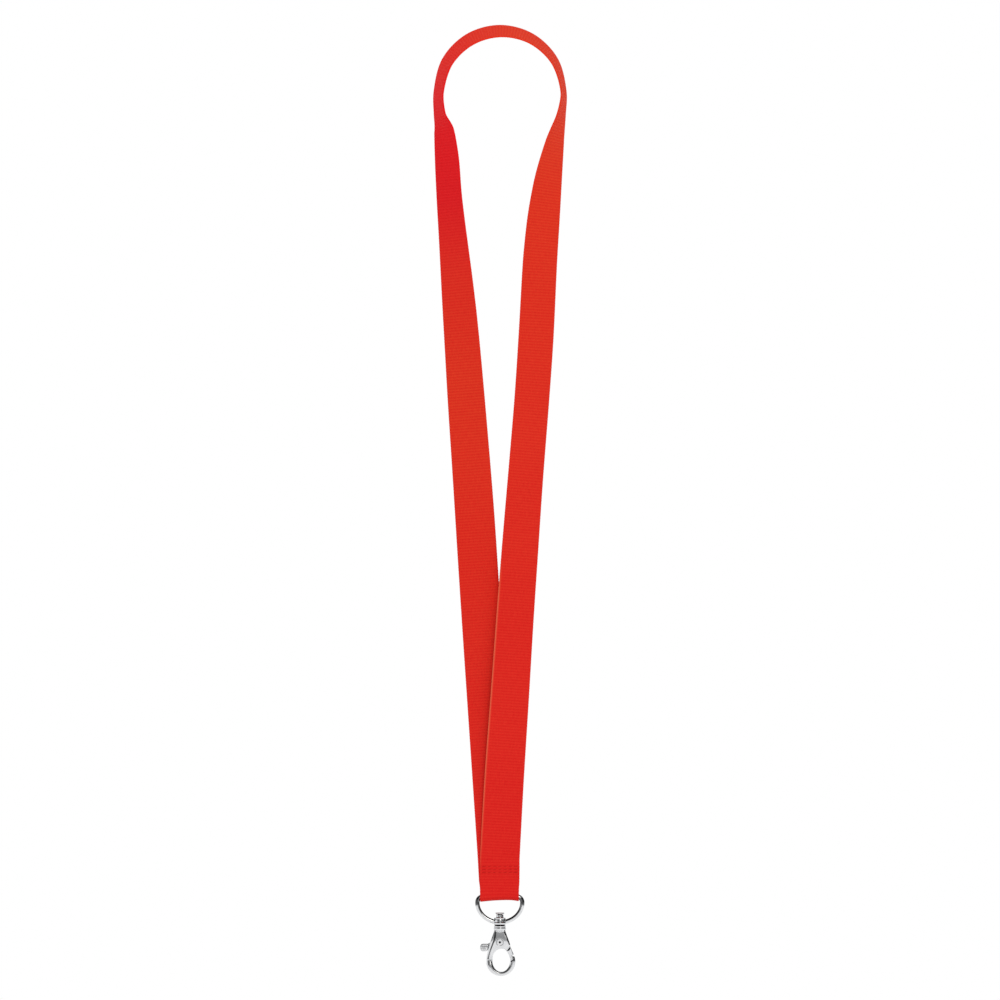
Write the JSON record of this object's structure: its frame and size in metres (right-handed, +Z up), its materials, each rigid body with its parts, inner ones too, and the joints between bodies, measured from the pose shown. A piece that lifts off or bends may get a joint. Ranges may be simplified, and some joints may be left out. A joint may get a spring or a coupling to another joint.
{
  "type": "neck lanyard",
  "caption": "Flat red woven ribbon in a long neck loop, folded and sewn round a D-ring that carries a swivelling snap hook with a sprung gate.",
  "frame": {"origin": "on the ribbon's inner face at the top of the neck loop, at the middle of its width, where the loop rests on the back of the neck", "axes": "+Z up, from the hook towards the loop; +X to the right seen from the front; the front faces -Y"},
  "size_m": [0.0673, 0.0198, 0.4759],
  "materials": {
    "ribbon": "matte",
    "thread": "matte",
    "plated_metal": "polished",
    "rivet_steel": "satin",
    "spring_steel": "satin"
  },
  "bodies": {
    "ribbon": {"neck_ribbon": "ribbon", "seam_stitch_upper": "thread", "seam_stitch_middle": "thread", "seam_stitch_lower": "thread"},
    "ring": {"d_ring": "plated_metal"},
    "hook": {"swivel_post": "plated_metal", "hook_body": "plated_metal", "gate_pivot_rivet": "rivet_steel", "gate_spring": "spring_steel"},
    "gate": {"gate_lever": "plated_metal"}
  },
  "joints": [
    {"name": "d_ring_swing", "type": "hinge", "parent": "ribbon", "child": "ring", "pos_m": [0, 0, -0.4315], "axis": [1, 0, 0], "range_deg": [-135, 135]},
    {"name": "hook_swivel", "type": "hinge", "parent": "ring", "child": "hook", "pos_m": [0, 0, -0.447], "axis": [0, 0, 1], "continuous": true},
    {"name": "gate_open", "type": "hinge", "parent": "hook", "child": "gate", "pos_m": [0, 0, -0.4549], "axis": [0, 1, 0], "range_deg": [0, 26], "stiffness_Nm_per_rad": 0.02, "deforming": ["gate_spring"]}
  ]
}
